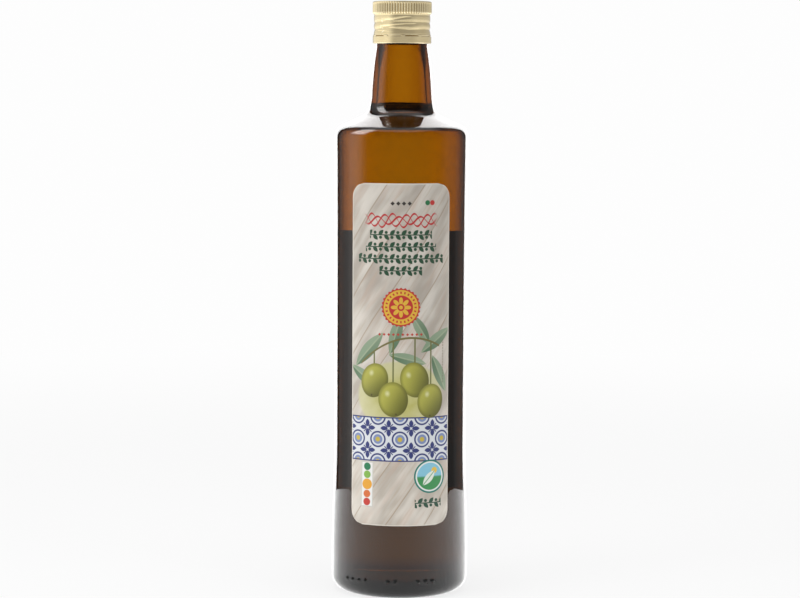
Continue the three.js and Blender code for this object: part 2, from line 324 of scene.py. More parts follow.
# Table and floor: their glow by side angle in radians, as mirrored and as seen through the glass,
# and fades by distance in metres, for the far floor and for a painted shadow round the bottle's foot
TABLE_WIDE, TABLE_DEEP = 480, 350
FLOOR_RADIUS = 6000
BACKDROP = 0.985
FLOOR_FADE = (0.3, 1.2, 0.82, 1)
TABLE_GLOW = (0.52, 3.14, 2.65, 1.05)
THROUGH_GLOW = (0.25, 1.15, 0.54, 0.04)
FOOT_PAINTED_SHADOW = (0.02, 0.06, 0.12, 1)

# Bright wall behind, in degrees: its half width and height, how it brightens upward, and the room
WALL_POWER = 3.0
WALL_HALF = 31
WALL_LOW, WALL_HIGH = -18, 62
WALL_SOFT = 3
SLOPE_LOW = 5
WALL_SLOPE = (5, 48, 0, 1.6)
ZENITH = (46, 62, 0.05, 1.1)

# The same wall as seen through the glass: half width and edge, and fades to the sides and upward.
# The skirt is light low down at each side: brightness, middle, half width, lowest, highest, edge
THROUGH_WALL = (38, 20)
THROUGH_SIDES = (6, 30, 1, 1.35)
THROUGH_RISE = (2.5, 6, 1, 0.02)
THROUGH_SKIRT = (1.0, 52, 16, -62, -20, 8)
THROUGH_FRONT = (95, 120, 0, 0.6)

# What rough metal and paper see of the room: a fade by rise, and lights with a brightness, middle,
# half width and edge
ROUGH_ROOM = (-8, 6, 0.8, 0.4)
ROUGH_LIGHTS = [(0.55, -80, 40, 30), (0.12, 60, 50, 35)]

# Softboxes: brightness, middle and half width in degrees from behind, lowest and highest, edge
SOFTBOXES = [
    (1.05, -89, 4, -12, 34, 29),
    (7.0, -93, 10, 27, 52, 12),
    (0.3, -56, 8, -12, 50, 8),
    (0.2, 84, 4, -12, 45, 26),
    (0.2, 54, 10, -12, 45, 10),
]

# Lamps that only paper and the table see: where, width, height, watts
LAMPS = {
    "key_left": ((-1100, -700, 500), 700, 900, 9),
    "fill_right": ((1100, -800, 400), 700, 900, 5),
    "top": ((0, -300, 1400), 900, 900, 9),
}


# Outlines of radius and height

def smooth_step(value, low, high):
    share = np.clip((value - low) / (high - low), 0, 1)
    return share * share * (3 - 2 * share)


def body_radius(height):
    """The outside radius of the body: widest at the heel and shoulder, drawn in between them."""
    heel = (HEEL_RADIUS - PANEL_RADIUS) * (1 - smooth_step(height, *HEEL_FLARE))
    above = max(0, (height - PANEL_MIDDLE) / (SHOULDER_EDGE - PANEL_MIDDLE))
    return PANEL_RADIUS + heel + (SHOULDER_RADIUS - PANEL_RADIUS) * above ** SHOULDER_FLARE_POWER


def body_side(offset, bottom, top):
    count = max(2, round((top - bottom) / SIDE_STEP) + 1)
    return [(body_radius(height) + offset, height) for height in np.linspace(bottom, top, count)]


def rounded(corners):
    """Points through corners of (radius, height) or (radius, height, fillet), fillets as arcs."""
    points = []
    for i, (radius, height, *fillet) in enumerate(corners):
        corner = Vector((radius, height))
        if not fillet:
            points.append(tuple(corner))
            continue
        back = (Vector(corners[i - 1][:2]) - corner).normalized()
        ahead = (Vector(corners[i + 1][:2]) - corner).normalized()
        half = back.angle(ahead) / 2
        centre = corner + (back + ahead).normalized() * (fillet[0] / math.sin(half))
        start = corner + back * (fillet[0] / math.tan(half)) - centre
        end = corner + ahead * (fillet[0] / math.tan(half)) - centre
        turn = math.atan2(start.x * end.y - start.y * end.x, start.dot(end))
        steps = max(2, round(abs(turn) / FILLET_STEP))
        for k in range(steps + 1):
            points.append(tuple(Matrix.Rotation(turn * k / steps, 2) @ start + centre))
    return points


def curved(points, steps):
    """A smooth line through points, and on to each end."""
    ends = [2 * np.array(points[0]) - points[1], *points, 2 * np.array(points[-1]) - points[-2]]
    ends = np.array(ends, float)
    line = []
    for p0, p1, p2, p3 in zip(ends, ends[1:], ends[2:], ends[3:]):
        for t in np.arange(steps) / steps:
            bend = (p2 - p0) * t + (2 * p0 - 5 * p1 + 4 * p2 - p3) * t**2
            line.append(tuple(p1 + (bend + (3 * p1 - p0 - 3 * p2 + p3) * t**3) / 2))
    return line + [tuple(ends[-2])]


# Objects

def in_scene(name, data):
    made = bpy.data.objects.new(name, data)
    bpy.context.scene.collection.objects.link(made)
    return made


def new_object(name, vertices, faces, materials):
    mesh = bpy.data.meshes.new(name)
    mesh.from_pydata([tuple(v) for v in np.array(vertices) * MM], [], faces)
    mesh.validate()
    mesh.polygons.foreach_set("use_smooth", [True] * len(mesh.polygons))
    for material in materials:
        mesh.materials.append(material)
    mesh.update()
    return in_scene(name, mesh)


def around(name, outline, angles, material, relief=None):
    """A closed body of revolution from an outline that starts and ends on the axis."""
    directions = np.stack([np.sin(angles), -np.cos(angles)], 1)
    rings, vertices, faces = [], [], []
    for radius, height in outline:
        first = len(vertices)
        if radius < 1e-6:
            vertices.append((0, 0, height))
            rings.append([first] * len(angles))
            continue
        radii = np.full(len(angles), radius) + (relief(angles, radius, height) if relief else 0)
        vertices += [(r * x, r * y, height) for r, (x, y) in zip(radii, directions)]
        rings.append(list(range(first, len(vertices))))
    for low, high in zip(rings, rings[1:]):
        for i in range(len(angles)):
            j = (i + 1) % len(angles)
            corners = [low[i], low[j], high[j], high[i]]
            faces.append(list(dict.fromkeys(corners)))
    return new_object(name, vertices, faces, [material])


def even_angles(count):
    return np.arange(count) * 2 * math.pi / count


# Material nodes

class Nodes:
    """Short calls for making nodes and joining them."""

    def __init__(self, tree):
        self.tree = tree
        tree.nodes.clear()

    def add(self, kind, inputs=(), **settings):
        node = self.tree.nodes.new(kind)
        for name, value in settings.items():
            setattr(node, name, value)
        for key, value in dict(inputs).items():
            self.feed(node.inputs[key], value)
        return node

    def feed(self, socket, value):
        if isinstance(value, bpy.types.NodeSocket):
            self.tree.links.new(value, socket)
        else:
            socket.default_value = value

    def math(self, operation, *values):
        return self.add("ShaderNodeMath", enumerate(values), operation=operation).outputs[0]

    # size drops the sign, and line is a value times a slope, plus a start
    times = partialmethod(math, "MULTIPLY")
    over = partialmethod(math, "DIVIDE")
    plus = partialmethod(math, "ADD")
    minus = partialmethod(math, "SUBTRACT")
    most = partialmethod(math, "MAXIMUM")
    size = partialmethod(math, "ABSOLUTE")
    line = partialmethod(math, "MULTIPLY_ADD")

    def apart(self, first, second):
        """How far two values are from each other."""
        return self.size(self.minus(first, second))

    def waves(self, turn, count):
        return self.math("COSINE", self.times(turn, count))

    def centred(self, lane, pitch):
        """How far a place is from the middle of its cell, where lane counts cells."""
        return self.times(self.minus(self.math("FRACT", lane), 0.5), pitch)

    def vector(self, operation, *values):
        """Vector maths: LENGTH gives a number, the rest give a vector."""
        node = self.add("ShaderNodeVectorMath", enumerate(values), operation=operation)
        return node.outputs["Value" if operation == "LENGTH" else "Vector"]

    def join(self, x=0.0, y=0.0, z=0.0):
        return self.add("ShaderNodeCombineXYZ", {0: x, 1: y, 2: z}).outputs[0]

    def split(self, vector):
        return self.add("ShaderNodeSeparateXYZ", {0: vector}).outputs

    def fade(self, value, start, end, low=1.0, high=0.0):
        """low before start, high after end, and smooth between them."""
        node = self.add("ShaderNodeMapRange", {0: value, 1: start, 2: end, 3: low, 4: high})
        node.interpolation_type = "SMOOTHSTEP"
        return node.outputs[0]

    def band(self, value, centre, half, soft):
        """1 within half of centre, and 0 from soft further on."""
        off = self.apart(value, centre)
        return self.fade(off, half, half + soft)

    def mix(self, share, first, second, mode="MIX"):
        node = self.add("ShaderNodeMix", data_type="RGBA", blend_type=mode)
        for key, value in ((0, share), (6, first), (7, second)):
            self.feed(node.inputs[key], colour(value) if isinstance(value, tuple) else value)
        return node.outputs[2]

    def noise(self, place, scale, detail=2.0, rough=0.5, distortion=0.0):
        inputs = {"Vector": place, "Scale": scale, "Detail": detail}
        inputs |= {"Roughness": rough, "Distortion": distortion}
        return self.add("ShaderNodeTexNoise", inputs).outputs[0]

    def less(self, value, limit, soft=PRINT_SOFT):
        """1 below the limit and 0 above it, with a soft edge."""
        return self.fade(value, limit - soft, limit + soft)

    def between(self, value, low, high):
        """1 from low to high and 0 outside, with soft edges."""
        return self.less(self.apart(value, (low + high) / 2), (high - low) / 2)

    def away(self, place, at):
        return self.vector("LENGTH", self.vector("SUBTRACT", place, (*at, 0)))

    def disc(self, place, at, radius, soft=PRINT_SOFT):
        return self.less(self.away(place, at), radius, soft)

    def rings(self, art, away, rings):
        """Discs laid on the print, each with an outer radius and a colour."""
        for outer, tint in rings:
            art = self.mix(self.less(away, outer), art, tint)
        return art

    def leaf(self, place, at, turn, length, width):
        """A pointed leaf: where it is, and places along and across it from -1 to 1."""
        local = self.moved(place, (*at, 0), turn, (length / 2, width / 2, 1))
        x, y, _ = self.split(local)
        edge = self.plus(self.size(y), self.times(x, x))
        soft = PRINT_SOFT * 2 / width
        return self.less(edge, 1, soft), x, y

    def moved(self, place, at=(0, 0, 0), turn=0.0, size=(1, 1, 1)):
        """place as a shape at that spot, turned and scaled, sees it."""
        inputs = {0: place, 1: at, 2: (0, 0, math.radians(turn)), 3: size}
        return self.add("ShaderNodeMapping", inputs, vector_type="TEXTURE").outputs[0]


def colour(rgb):
    return (*rgb, 1.0) if len(rgb) == 3 else rgb


def surface(name, **sockets):
    """A material with one Principled shader, then its node helper, the shader and the output."""
    material = bpy.data.materials.new(name)
    material.use_nodes = True
    nodes = Nodes(material.node_tree)
    out = nodes.add("ShaderNodeOutputMaterial")
    shader = nodes.add("ShaderNodeBsdfPrincipled")
    for key, value in sockets.items():
        nodes.feed(shader.inputs[key.replace("_", " ")], value)
    material.node_tree.links.new(shader.outputs[0], out.inputs["Surface"])
    return material, nodes, shader, out


def object_place(nodes):
    return nodes.add("ShaderNodeTexCoord").outputs["Object"]


def dress(nodes, shader, tint, roughness, height, distance):
    """The shader's colour, roughness and bumps; the distance is their height in metres."""
    nodes.feed(shader.inputs["Base Color"], tint)
    nodes.feed(shader.inputs["Roughness"], roughness)
    bump = nodes.add("ShaderNodeBump", {"Height": height, "Distance": distance})
    nodes.feed(shader.inputs["Normal"], bump.outputs[0])


def absorbing(nodes, out, tint, density):
    shader = nodes.add("ShaderNodeVolumeAbsorption", {"Color": colour(tint), "Density": density})
    nodes.tree.links.new(shader.outputs[0], out.inputs["Volume"])


def dot_shade(nodes, place):
    """Painted shade: 1 on the mould dots, which bend the light so much that they look dark, so the
    glass is tinted near black there.
    """
    x, y, z = nodes.split(place)
    turn = nodes.math("ARCTAN2", x, nodes.times(y, -1))
    turn = nodes.times(turn, 180 / math.pi)
    up = nodes.minus(nodes.over(z, MM), DOT_HEIGHT + DOT_DARK_RISE)
    shade = 0.0
    start, end = DOT_DARK_EDGE
    for first, count, radius in DOT_GROUPS:
        from_first = nodes.minus(turn, first)
        lane = nodes.math("ROUND", nodes.over(from_first, DOT_PITCH))
        lane = nodes.math("MINIMUM", nodes.most(lane, 0), count - 1)
        off = nodes.minus(from_first, nodes.times(lane, DOT_PITCH))
        across = nodes.times(off, math.radians(HEEL_RADIUS))
        away = nodes.vector("LENGTH", nodes.join(across, up))
        shade = nodes.most(nodes.fade(away, radius * start, radius * end), shade)
    return shade


def amber_glass():
    """Brown glass, with the faint waves that a mould leaves in it, and painted shade on its mould dots.
    """
    material, nodes, shader, out = surface("amber_glass", IOR=GLASS_INDEX, Transmission_Weight=1.0)
    place = object_place(nodes)
    shade = dot_shade(nodes, place)
    # Painted shade: the glass tinted near black on the mould dots
    tint = nodes.mix(shade, (1, 1, 1), DOT_PAINTED_SHADE)
    streaks = nodes.noise(nodes.moved(place, size=(1, 1, 6)), 60, 2)
    height = nodes.line(nodes.noise(place, 160, 1), 0.25, streaks)
    dress(nodes, shader, tint, nodes.times(shade, DOT_ROUGHNESS), height, RIPPLE_HEIGHT)
    absorbing(nodes, out, GLASS_TINT, GLASS_DENSITY)
    return material


def olive_oil():
    """Clear green-gold oil, with faint swirls."""
    material, nodes, shader, out = surface("olive_oil", IOR=OIL_INDEX, Transmission_Weight=1.0)
    swirl = nodes.noise(object_place(nodes), 45, 2, distortion=0.6)
    dress(nodes, shader, (1, 1, 1, 1), 0.0, swirl, SWIRL_HEIGHT)
    absorbing(nodes, out, OIL_TINT, OIL_DENSITY)
    return material


def gold_metal():
    """Gold-lacquered aluminium, faintly brushed round the cap, with painted shade in its hollows and
    paler along its sharp edges.
    """
    material, nodes, shader, _ = surface("gold_aluminium", Metallic=1.0)
    place = object_place(nodes)
    x, y, z = nodes.split(place)
    angle = nodes.math("ARCTAN2", x, y)
    brushed = nodes.noise(nodes.join(angle, nodes.times(z, 900)), 4, 3)
    cloud = nodes.noise(place, 220, 3)
    edges = nodes.add("ShaderNodeNewGeometry").outputs["Pointiness"]
    gold = nodes.mix(cloud, GOLD, GOLD_LIGHT)
    # Painted shade: darker where the surface is hollow
    gold = nodes.mix(nodes.fade(edges, *HOLLOW_SHADE_FADE), gold, GOLD_PAINTED_SHADE)
    # Paler where the surface comes to a sharp edge
    gold = nodes.mix(nodes.fade(edges, *SHARP_EDGE_FADE), gold, GOLD_SHARP_EDGE)
    rough = nodes.line(cloud, 0.06, nodes.line(brushed, 0.08, 0.14))
    dress(nodes, shader, gold, rough, brushed, BRUSH_HEIGHT)
    return material


def wood(nodes, flat):
    """Bleached planks on the slant: soft grain, and thin darker joints."""
    along, across, _ = nodes.split(nodes.moved(flat, turn=PLANK_TURN))
    lane = nodes.over(nodes.plus(across, PLANK_SHIFT), PLANK_WIDTH)
    plank = nodes.math("FLOOR", lane)
    run = nodes.times(nodes.plus(along, nodes.times(plank, PLANK_SLIP)), GRAIN_ALONG)

    def figure(fineness, seed, *texture):
        return nodes.noise(nodes.join(run, nodes.times(across, fineness), seed), 1, *texture)

    grain = figure(GRAIN_ACROSS, plank, 5, 0.62, 0.5)
    broad = figure(BROAD_ACROSS, plank)
    blush = figure(BLUSH_ACROSS, BLUSH_SEED, 3)
    tone = nodes.mix(nodes.fade(broad, 0.3, 0.7, 0, 1), WOOD_PALE, WOOD_GREY)
    tone = nodes.mix(nodes.fade(grain, 0.47, 0.75, 0, 0.55), tone, WOOD_GRAIN)
    tone = nodes.mix(nodes.fade(blush, 0.5, 0.75, 0, 0.4), tone, WOOD_BLUSH)
    off = nodes.apart(nodes.math("FRACT", lane), 0.5)
    return nodes.mix(nodes.fade(off, *JOINT_FADE), tone, WOOD_JOINT)


def scroll(nodes, art, s, z):
    """Three thin red waves, crossing like a ribbon."""
    rise = nodes.minus(z, SCROLL_HEIGHT)
    ends = nodes.fade(nodes.size(s), SCROLL_REACH - SCROLL_TAPER, SCROLL_REACH)
    for phase, reach in SCROLL_WAVES:
        turn = nodes.line(s, 2 * math.pi / SCROLL_WAVE, phase)
        wave = nodes.times(nodes.math("SINE", turn), reach)
        width = nodes.line(nodes.math("COSINE", turn), *SCROLL_WIDTH)
        line = nodes.fade(nodes.minus(nodes.apart(rise, wave), width), -PRINT_SOFT, PRINT_SOFT)
        art = nodes.mix(nodes.times(line, ends), art, SCROLL_RED)
    return art


def garland(nodes, s, y):
    """Small leaves, now above and now below a thin stem, with a berry across from each."""
    lane = nodes.over(s, GARLAND_CELL)
    odd = nodes.math("PINGPONG", nodes.math("FLOOR", lane), 1)
    flip = nodes.line(odd, -2, 1)
    x = nodes.centred(lane, GARLAND_CELL)
    place = nodes.join(x, nodes.times(y, flip))
    leaf = nodes.leaf(place, *GARLAND_LEAF)[0]
    berry = nodes.disc(place, *GARLAND_BERRY)
    stem = nodes.less(nodes.size(y), GARLAND_STEM)
    return nodes.most(nodes.most(leaf, berry), stem)


def garlands(nodes, art, s, z):
    """Four green garlands of their own lengths, and a short one near the foot of the label."""
    row = nodes.over(nodes.minus(z, GARLAND_BOTTOM), GARLAND_ROW)
    half, last = 0.0, 0
    for top, reach in GARLAND_HALVES:
        half = nodes.line(nodes.math("LESS_THAN", z, top), reach - last, half)
        last = reach
    within = nodes.less(nodes.minus(nodes.size(s), half), 0)
    block = nodes.between(z, GARLAND_BOTTOM, GARLAND_TOP)
    line = garland(nodes, s, nodes.centred(row, GARLAND_ROW))
    mask = nodes.times(nodes.times(within, block), line)
    art = nodes.mix(mask, art, GARLAND_GREEN)
    return short_garland(nodes, art, s, z, *FOOT_GARLAND)


def short_garland(nodes, art, s, z, centre, height, reach):
    right = nodes.minus(s, centre)
    up = nodes.minus(z, height)
    within = nodes.less(nodes.size(right), reach)
    mask = nodes.times(within, nodes.less(nodes.size(up), GARLAND_ROW / 2))
    mask = nodes.times(mask, garland(nodes, right, up))
    return nodes.mix(mask, art, FOOT_GREEN)


def medallion(nodes, art, flat):
    """A round rosette in red and gold: scalloped rim, rings, beads and a flower of eight petals."""
    local = nodes.vector("SUBTRACT", flat, (*MEDALLION, 0))
    x, y, _ = nodes.split(local)
    away = nodes.vector("LENGTH", local)
    turn = nodes.math("ARCTAN2", y, x)
    scallop = nodes.times(nodes.waves(turn, SCALLOPS), SCALLOP_DEPTH)
    art = nodes.mix(nodes.less(nodes.minus(away, scallop), MEDALLION_RADIUS), art, ROSE_RED)
    art = nodes.rings(art, away, MEDALLION_RINGS)
    bead = nodes.fade(nodes.waves(turn, BEADS), 0.1, 0.5, 0, 1)
    bead = nodes.times(bead, nodes.band(away, *BEAD_RING))
    art = nodes.mix(bead, art, ROSE_RED)
    petals = nodes.size(nodes.waves(turn, PETAL_WAVES))
    reach = nodes.line(nodes.math("POWER", petals, PETAL_POWER), PETAL_LENGTH, PETAL_START)
    art = nodes.mix(nodes.less(nodes.minus(away, reach), 0), art, ROSE_GOLD)
    return nodes.rings(art, away, MEDALLION_HEART)


def lozenges(nodes, s, z, height, reach, pitch, size):
    """A level row of lozenges."""
    x = nodes.centred(nodes.over(s, pitch), pitch)
    away = nodes.plus(nodes.size(x), nodes.apart(z, height))
    return nodes.times(nodes.less(away, size), nodes.less(nodes.size(s), reach))


def small_marks(nodes, art, flat, s, z):
    """Rows of lozenges at the top and under the medallion, and dashes up the right side."""
    art = nodes.mix(lozenges(nodes, s, z, *LOZENGE_LINE), art, LOZENGE_RED)
    art = nodes.mix(lozenges(nodes, s, z, *TOP_LOZENGES), art, TOP_BROWN)
    for x, tint in TOP_DOTS:
        art = nodes.mix(nodes.disc(flat, (x, TOP_DOT_HEIGHT), TOP_DOT_RADIUS), art, tint)
    across, low, high, pitch = SIDE_DASHES
    line = nodes.less(nodes.apart(s, across), DASH_HALF)
    dash = nodes.math("LESS_THAN", nodes.math("FRACT", nodes.over(z, pitch)), DASH_SHARE)
    mask = nodes.times(nodes.times(line, dash), nodes.between(z, low, high))
    return nodes.mix(nodes.times(mask, 0.6), art, DASH_BROWN)


def tile_band(nodes, art, s, z, low, high):
    """Blue and white tiles: rings round the corners, and a four-petalled flower in each."""
    x = nodes.size(nodes.centred(nodes.over(s, TILE), TILE))
    y = nodes.size(nodes.centred(nodes.over(nodes.minus(z, low), TILE), TILE))
    corner = nodes.away(nodes.join(x, y), (TILE / 2, TILE / 2))
    tile = nodes.mix(nodes.less(corner, TILE_RIM), TILE_WHITE, TILE_NAVY)
    tile = nodes.rings(tile, corner, TILE_RINGS)
    longer, shorter = nodes.most(x, y), nodes.math("MINIMUM", x, y)
    petal = nodes.leaf(nodes.join(longer, shorter), *TILE_PETAL)[0]
    tile = nodes.mix(petal, tile, TILE_NAVY)
    thread = nodes.less(nodes.minus(longer, shorter), THREAD_HALF)
    thread = nodes.times(thread, nodes.band(nodes.plus(x, y), *THREAD_REACH))
    tile = nodes.mix(thread, tile, TILE_NAVY)
    tile = nodes.mix(nodes.between(z, low + TILE_BORDER, high - TILE_BORDER), TILE_NAVY, tile)
    return nodes.mix(nodes.between(z, low, high), art, tile)


def shaded_leaf(nodes, art, flat, at, turn, length, width):
    mask, x, y = nodes.leaf(flat, at, turn, length, width)
    blade = nodes.mix(nodes.fade(y, -0.1, 0.1, 0, 1), LEAF_DARK, LEAF_LIGHT)
    blade = nodes.mix(nodes.fade(x, -0.9, 1.0, 0, 0.45), blade, LEAF_TIP)
    rib = nodes.less(nodes.size(y), LEAF_RIB_HALF)
    blade = nodes.mix(nodes.times(rib, 0.7), blade, LEAF_RIB)
    return nodes.mix(mask, art, blade)


def shaded_olive(nodes, art, flat, at, turn, half_width, half_height):
    """An olive lit from its upper left, with a shine there and a dark tip below."""
    local = nodes.moved(flat, (*at, 0), turn, (half_width, half_height, 1))
    x, y, _ = nodes.split(local)
    away = nodes.vector("LENGTH", local)
    lit = nodes.plus(nodes.times(x, OLIVE_LIGHT[0]), nodes.times(y, OLIVE_LIGHT[1]))
    flesh = nodes.mix(nodes.fade(lit, -0.75, 0.6, 0, 1), OLIVE_SHADE, OLIVE_LIT)
    flesh = nodes.mix(nodes.fade(away, 0.72, 1.0, 0, 0.55), flesh, OLIVE_RIM)
    shine = nodes.disc(local, *OLIVE_SHINE)
    flesh = nodes.mix(nodes.times(shine, 0.8), flesh, OLIVE_WHITE)
    flesh = nodes.mix(nodes.disc(local, *OLIVE_TIP), flesh, OLIVE_DARK)
    soft = PRINT_SOFT / half_width
    return nodes.mix(nodes.fade(away, 1 - soft, 1 + soft), art, flesh)


def olive_branch(nodes, art, flat, s, z):
    """A branch with slender leaves and four green olives, before a field of yellow-green."""
    at, half = FIELD
    away = nodes.vector("LENGTH", nodes.moved(flat, (*at, 0), 0, (*half, 1)))
    cloud = nodes.noise(flat, FIELD_CLOUD, 3)
    field = nodes.mix(cloud, FIELD_PALE, FIELD_GREEN)
    field = nodes.mix(nodes.fade(away, 0.3, 1.0, 0, 0.6), field, FIELD_RIM)
    art = nodes.mix(nodes.fade(away, 0.9, 1.0), art, field)
    art = tile_band(nodes, art, s, z, *TILE_BAND)
    top, middle, bend = STEM
    off = nodes.minus(s, middle)
    curve = nodes.line(nodes.times(off, off), -bend, top)
    reach = nodes.less(nodes.size(s), STEM_REACH)
    stem = nodes.times(nodes.less(nodes.apart(z, curve), STEM_HALF), reach)
    for leaf in LEAVES:
        art = shaded_leaf(nodes, art, flat, *leaf)
    art = nodes.mix(stem, art, STEM_BROWN)
    for olive in OLIVES:
        x, height, half_height = *olive[0], olive[-1]
        over = top - bend * (x - middle) ** 2
        stalk = nodes.less(nodes.apart(s, x), STALK_HALF)
        foot = height + half_height - STALK_OVERLAP
        stalk = nodes.times(stalk, nodes.between(z, foot, over))
        art = nodes.mix(stalk, art, STALK_GREEN)
        art = shaded_olive(nodes, art, flat, *olive)
    return art


def tally(nodes, art, flat):
    """A column of coloured dots on a pale panel."""
    at, half = TALLY_PANEL
    x, y, _ = nodes.split(nodes.vector("ABSOLUTE", nodes.vector("SUBTRACT", flat, (*at, 0))))
    for inset, tint in TALLY_PAPERS:
        panel = nodes.times(nodes.less(x, half[0] - inset), nodes.less(y, half[1] - inset))
        art = nodes.mix(panel, art, tint)
    for height, radius, tint in TALLY:
        art = nodes.mix(nodes.disc(flat, (at[0], height), radius), art, tint)
    return art


def badge(nodes, art, flat):
    """A round badge: plain rings, a green field under a blue sky, a sun and one leaf."""
    away = nodes.away(flat, BADGE)
    _, z, _ = nodes.split(flat)
    sky = nodes.fade(z, BADGE[1] - BADGE_SOFT, BADGE[1] + BADGE_SOFT, 0, 1)
    ground = nodes.mix(sky, BADGE_GREEN, BADGE_SKY)
    art = nodes.rings(art, away, [*BADGE_RINGS, (BADGE_FIELD, ground)])
    art = nodes.mix(nodes.disc(flat, *BADGE_SUN), art, SUN_YELLOW)
    mask, _, y = nodes.leaf(flat, *BADGE_LEAF)
    rib = nodes.less(nodes.size(y), BADGE_RIB_HALF)
    blade = nodes.mix(rib, BADGE_WHITE, BADGE_GREEN)
    return nodes.mix(mask, art, blade)


def pale_edge(nodes, art, s, z, bottom, top, half_angle):
    """The cut edge of the paper shows as a pale line round the print."""
    middle, tall = (bottom + top) / 2, (top - bottom) / 2
    wide = PANEL_RADIUS * half_angle
    x = nodes.plus(nodes.size(s), LABEL_CORNER - wide)
    y = nodes.plus(nodes.apart(z, middle), LABEL_CORNER - tall)
    outer = nodes.join(nodes.most(x, 0), nodes.most(y, 0))
    away = nodes.vector("LENGTH", outer)
    start, end = (LABEL_CORNER - width for width in PALE_EDGE)
    return nodes.mix(nodes.fade(away, start, end, 0, 0.8), art, PAPER_PALE)


def front_print(nodes, art, flat, s, z):
    """Garlands, a rosette, an olive branch, tiles and small marks."""
    art = olive_branch(nodes, art, flat, s, z)
    art = scroll(nodes, art, s, z)
    art = garlands(nodes, art, s, z)
    art = medallion(nodes, art, flat)
    art = small_marks(nodes, art, flat, s, z)
    art = tally(nodes, art, flat)
    return badge(nodes, art, flat)


def back_print(nodes, art, flat, s, z):
    """A garland near the top, and tiles near the foot."""
    art = tile_band(nodes, art, s, z, *BACK_TILE_BAND)
    return short_garland(nodes, art, s, z, *BACK_GARLAND)


def printed_paper(name, facing, draw, *shape):
    """Paper printed with planks of pale wood and what draw adds; facing is 1 in front, -1 behind."""
    material, nodes, shader, _ = surface(name)
    place = object_place(nodes)
    x, y, z = nodes.split(place)
    s = nodes.math("ARCTAN2", nodes.times(x, facing), nodes.times(y, -facing))
    s = nodes.times(s, PANEL_RADIUS)
    z = nodes.over(z, MM)
    flat = nodes.join(s, z)
    art = draw(nodes, wood(nodes, flat), flat, s, z)
    art = pale_edge(nodes, art, s, z, *shape)
    # Painted shade: the whole print dimmed, more toward the top
    tone = nodes.fade(z, *PRINT_PAINTED_SHADE)
    art = nodes.mix(1, art, nodes.join(tone, tone, tone), "MULTIPLY")
    nx, ny, _ = nodes.split(nodes.add("ShaderNodeTexCoord").outputs["Normal"])
    outward = nodes.plus(nodes.times(x, nx), nodes.times(y, ny))
    art = nodes.mix(nodes.math("LESS_THAN", outward, 0), art, PAPER_INSIDE)
    fibre = nodes.noise(place, FIBRE_SCALE, 3)
    art = nodes.mix(0.12, art, nodes.mix(fibre, (0.9, 0.9, 0.9), (1, 1, 1)), "MULTIPLY")
    dress(nodes, shader, art, nodes.line(fibre, 0.12, 0.4), fibre, FIBRE_HEIGHT)
    return material


# The pieces

def outside_corners():
    return [
        (0, PUNT_DEPTH),
        (*PUNT_BEND, PUNT_FILLET),
        (PUNT_RADIUS, 0, RING_FILLET),
        (HEEL_RADIUS, 0, HEEL_FILLET),
        *((HEEL_RADIUS, height) for height in dot_rows()),
        *body_side(0, SIDE_BOTTOM, SIDE_TOP),
        (SHOULDER_RADIUS, SHOULDER_EDGE, EDGE_FILLET),
        (*NECK_FOOT, FOOT_FILLET),
        *curved(NECK, 5),
        (FINISH_RADIUS, FINISH_BOTTOM),
        (FINISH_RADIUS, GLASS_TOP, LIP_FILLET),
    ]


def body_inside(wall, floor):
    """The inside of the shoulder and body, down to the middle of the floor."""
    drop = wall / math.cos(SHOULDER_SLOPE) - wall * math.tan(SHOULDER_SLOPE)
    return [
        (NECK_FOOT[0] - wall, NECK_FOOT[1] - drop, INNER_FOOT_FILLET),
        (SHOULDER_RADIUS - wall, SHOULDER_EDGE - drop, INNER_EDGE_FILLET),
        *reversed(body_side(-wall, INNER_SIDE_BOTTOM, SIDE_TOP)),
        (HEEL_RADIUS - wall, floor - FLOOR_DIP, FLOOR_FILLET),
        (PUNT_BEND[0], floor - PUNT_DEPTH + PUNT_BEND[1], PUNT_FILLET),
        (0, floor),
    ]


def inside_corners():
    neck = [(radius - WALL, height) for radius, height in NECK[:-1]]
    return [
        (BORE_RADIUS, GLASS_TOP, LIP_FILLET),
        *curved([(BORE_RADIUS, NECK[-1][1]), *reversed(neck)], 5),
        *body_inside(WALL, PUNT_DEPTH + FLOOR),
    ]


def dot_rows():
    return np.linspace(DOT_HEIGHT - DOT_SPREAD, DOT_HEIGHT + DOT_SPREAD, DOT_STEPS)


def dots():
    """Angle and radius of every mould dot."""
    return [
        (math.radians(first + DOT_PITCH * i), radius)
        for first, count, radius in DOT_GROUPS
        for i in range(count)
    ]


def dot_relief(angles, radius, height):
    proud = np.zeros(len(angles))
    if abs(height - DOT_HEIGHT) > DOT_SPREAD or abs(radius - HEEL_RADIUS) > 0.01:
        return proud
    for angle, size in dots():
        off = (angles - angle + math.pi) % (2 * math.pi) - math.pi
        away = np.hypot(off * HEEL_RADIUS, height - DOT_HEIGHT) / size
        proud = np.maximum(proud, DOT_PROUD * np.sqrt(np.clip(1 - away**2, 0, 1)))
    return proud


def bottle_angles():
    """Even columns, with close ones where the mould dots are."""
    steps = np.linspace(-DOT_SPREAD, DOT_SPREAD, DOT_STEPS) / HEEL_RADIUS
    close = [angle + steps for angle, _ in dots()]
    every = np.concatenate([even_angles(160), *close]) % (2 * math.pi)
    return np.unique(np.round(every, 4))


def make_bottle():
    outline = rounded([*outside_corners(), *inside_corners()])
    return around("bottle", outline, bottle_angles(), amber_glass(), dot_relief)


